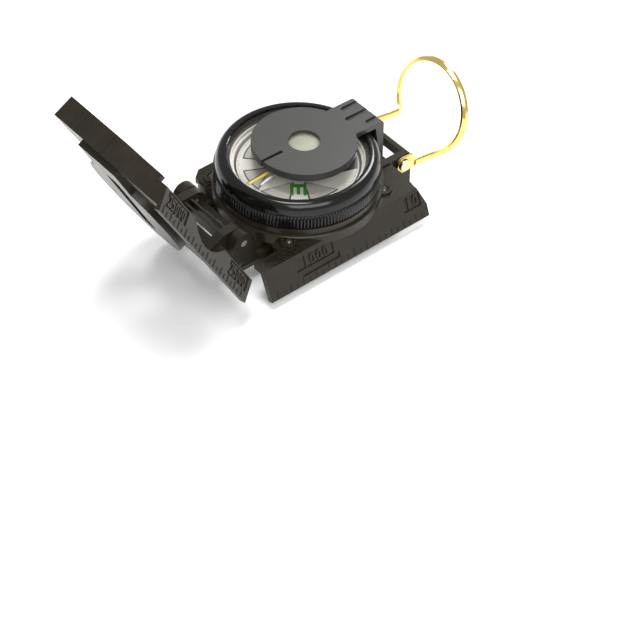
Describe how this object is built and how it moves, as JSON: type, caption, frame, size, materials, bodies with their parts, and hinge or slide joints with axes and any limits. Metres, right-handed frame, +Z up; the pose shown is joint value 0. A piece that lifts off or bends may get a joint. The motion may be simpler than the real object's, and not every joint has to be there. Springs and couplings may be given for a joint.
{
  "type": "folding sighting compass",
  "caption": "Folding lensatic sighting compass with hinged lid, sighting slot and wire, turning bezel, liquid capsule, swing-up magnifier, ruler edges and brass thumb loop.",
  "frame": {"origin": "on the axis of the compass capsule, at the underside of the round bottom cover that the compass rests on", "axes": "+X from the lid hinge towards the thumb loop, +Y away from the sloping ruler edge, +Z up out of the dial"},
  "size_m": [0.1337, 0.0549, 0.0697],
  "materials": {
    "body_paint": "glossy dark olive-brown paint",
    "lid_paint": "glossy dark olive-brown paint",
    "cover_paint": "glossy dark olive-brown paint",
    "screw": "polished pale brass",
    "bezel": "polished black",
    "crystal": "clear",
    "spring": "bright spring steel",
    "yellow_mark": "yellow luminous paint",
    "white_mark": "white paint",
    "dial": "cream",
    "black_trim": "black",
    "green_mark": "green luminous paint",
    "magnet": "dull sintered metal",
    "bracket": "matt dark grey",
    "lens": "clear",
    "loop": "polished brass"
  },
  "bodies": {
    "base": {"body_casting": "body_paint", "bottom_cover": "cover_paint", "cover_screw_1": "screw", "cover_screw_2": "screw", "cover_screw_3": "screw", "cover_screw_4": "screw", "bezel_spring": "spring", "capsule_cup": "dial", "capsule_window": "crystal", "capsule_seal": "black_trim", "pivot_needle": "spring", "bracket_pin": "spring", "bracket_spring": "spring", "loop_rivet_front": "screw", "loop_rivet_back": "screw", "lid_pin_front": "spring", "lid_pin_back": "spring"},
    "bezel": {"bezel_ring": "bezel", "crystal": "crystal", "bezel_line": "yellow_mark", "index_line": "white_mark"},
    "card": {"compass_card": "dial", "north_arrow": "green_mark", "east_mark": "green_mark", "card_magnet": "magnet", "card_hub": "loop"},
    "bracket": {"lens_bracket": "bracket", "magnifier_lens": "lens", "lens_retainer": "black_trim"},
    "loop": {"thumb_loop": "loop"},
    "lid": {"lid": "lid_paint", "sight_wire": "spring", "lid_dot_inner": "green_mark", "lid_dot_outer": "green_mark"}
  },
  "joints": [
    {"name": "lid_hinge", "type": "hinge", "parent": "base", "child": "lid", "pos_m": [-0.0314, 0, 0.0155], "axis": [0, -1, 0], "range_deg": [-118.9, 45]},
    {"name": "bracket_hinge", "type": "hinge", "parent": "base", "child": "bracket", "pos_m": [0.02785, 0, 0.0096], "axis": [0, 1, 0], "range_deg": [0, 52]},
    {"name": "loop_hinge", "type": "hinge", "parent": "base", "child": "loop", "pos_m": [0.0333, 0, 0.0108], "axis": [0, 1, 0], "range_deg": [-80, 18]},
    {"name": "bezel_turn", "type": "hinge", "parent": "base", "child": "bezel", "pos_m": [0, 0, 0.0205], "axis": [0, 0, 1], "continuous": true},
    {"name": "card_turn", "type": "hinge", "parent": "base", "child": "card", "pos_m": [0, 0, 0.0205], "axis": [0, 0, 1], "continuous": true}
  ]
}
